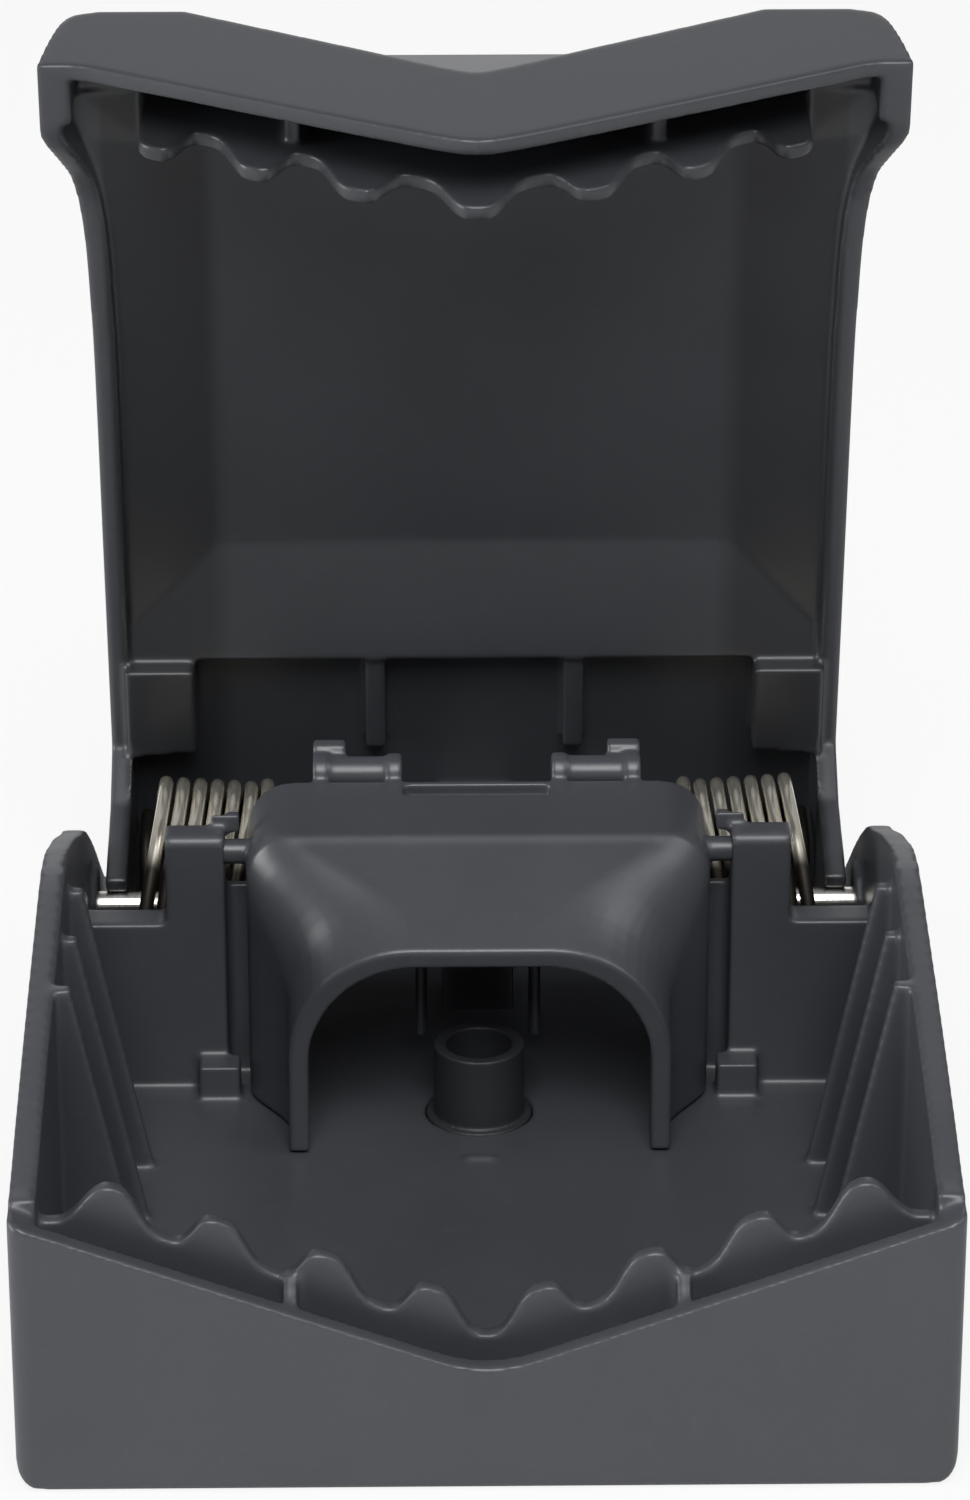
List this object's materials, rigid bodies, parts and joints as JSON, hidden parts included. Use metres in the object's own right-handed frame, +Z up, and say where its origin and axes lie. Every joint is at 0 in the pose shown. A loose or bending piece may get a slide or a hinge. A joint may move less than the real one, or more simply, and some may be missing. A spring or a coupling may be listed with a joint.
{
  "type": "snap mouse trap",
  "caption": "Reusable plastic snap mouse trap, set open: ribbed base, toothed spring jaw on a hinge rod, trip arch over a bait cup.",
  "frame": {"origin": "centre of the flat face that the trap stands on", "axes": "+X to the trap's right seen from its front, +Y from the biting lip to the press tab, +Z up"},
  "size_m": [0.056, 0.0781, 0.0718],
  "materials": {
    "base_tray": "satin moulded, dark blue-grey",
    "hinge_rod": "drawn steel rod",
    "spring_left": "nickel-plated spring wire",
    "spring_right": "nickel-plated spring wire",
    "jaw": "satin moulded, dark blue-grey",
    "trip_arch": "satin moulded, dark blue-grey",
    "bait_cup": "satin moulded, dark grey"
  },
  "bodies": {
    "base": {"base_tray": "base_tray", "hinge_rod": "hinge_rod", "spring_left": "spring_left", "spring_right": "spring_right"},
    "jaw": {"jaw": "jaw"},
    "trigger": {"trip_arch": "trip_arch"},
    "cup": {"bait_cup": "bait_cup"}
  },
  "joints": [
    {"name": "jaw_hinge", "type": "hinge", "parent": "base", "child": "jaw", "pos_m": [0, 0.021, 0.0098], "axis": [1, 0, 0], "range_deg": [0, 79], "deforming": ["spring_left", "spring_right"]},
    {"name": "trigger_pivot", "type": "hinge", "parent": "base", "child": "trigger", "pos_m": [0, 0.0102, 0.0189], "axis": [-1, 0, 0], "range_deg": [0, 10]},
    {"name": "cup_slide", "type": "slide", "parent": "base", "child": "cup", "axis": [0, 0, -1], "range_m": [0, 0.009]}
  ]
}
